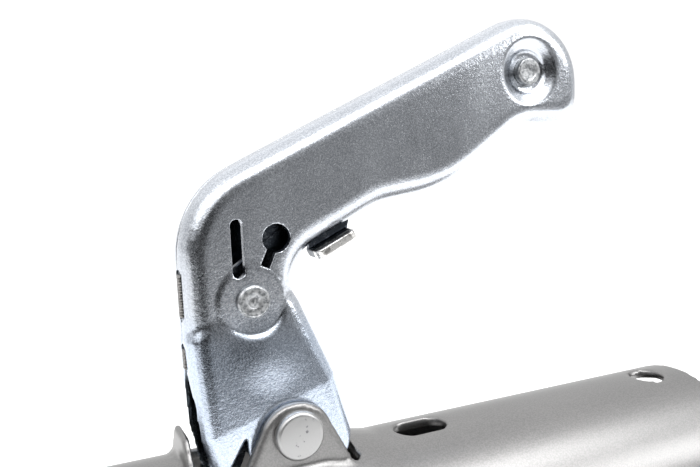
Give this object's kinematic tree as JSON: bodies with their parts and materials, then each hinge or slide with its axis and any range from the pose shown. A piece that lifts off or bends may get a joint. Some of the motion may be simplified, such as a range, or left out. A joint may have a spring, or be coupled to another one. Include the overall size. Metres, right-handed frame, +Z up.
{
  "type": "trailer coupling head",
  "caption": "Pressed steel coupling head for a round trailer drawbar, with a raised two-half handle, safety catch and sprung ball jaw.",
  "frame": {"origin": "centre of the towing ball in its cup", "axes": "+X from the ball back towards the trailer along the drawbar, +Z up, -Y the near side of the picture"},
  "size_m": [0.2347, 0.067, 0.1891],
  "materials": {
    "body_steel": "matte zinc",
    "handle_zinc": "bright blue zinc",
    "weld": "rough weld",
    "rivet_zinc": "satin zinc",
    "hidden_steel": "plain steel",
    "spring_steel": "dark spring steel",
    "pin_steel": "matte zinc",
    "jaw_iron": "forged"
  },
  "bodies": {
    "body": {"body_shell": "body_steel", "pivot_pin": "pin_steel", "pivot_washer": "rivet_zinc", "pivot_clip": "spring_steel"},
    "handle": {"handle_shell_near": "handle_zinc", "handle_shell_far": "handle_zinc", "seam_weld_upper": "weld", "seam_weld_lower": "weld", "grip_rivet": "rivet_zinc", "grip_spacer": "hidden_steel", "catch_rivet": "rivet_zinc", "catch_spacer": "hidden_steel", "catch_spring": "spring_steel", "pivot_sleeve": "hidden_steel", "jaw_spring": "spring_steel", "jaw_pin": "rivet_zinc", "jaw_washers": "rivet_zinc"},
    "catch": {"safety_catch": "handle_zinc"},
    "jaw": {"locking_jaw": "jaw_iron"}
  },
  "joints": [
    {"name": "handle_pivot", "type": "hinge", "parent": "body", "child": "handle", "pos_m": [0.054, 0, 0.0347], "axis": [0, 1, 0], "range_deg": [0, 28]},
    {"name": "jaw_pivot", "type": "hinge", "parent": "handle", "child": "jaw", "pos_m": [0.061, 0, 0.0065], "axis": [0, 1, 0], "range_deg": [-28, 0]},
    {"name": "catch_pivot", "type": "hinge", "parent": "handle", "child": "catch", "pos_m": [0.0457, 0, 0.0705], "axis": [0, -1, 0], "range_deg": [0, 3], "stiffness_Nm_per_rad": 0.2, "springref_deg": -17.19}
  ],
  "couplings": [
    {"joint": "jaw_pivot", "follows": "handle_pivot", "ratio": -1}
  ]
}
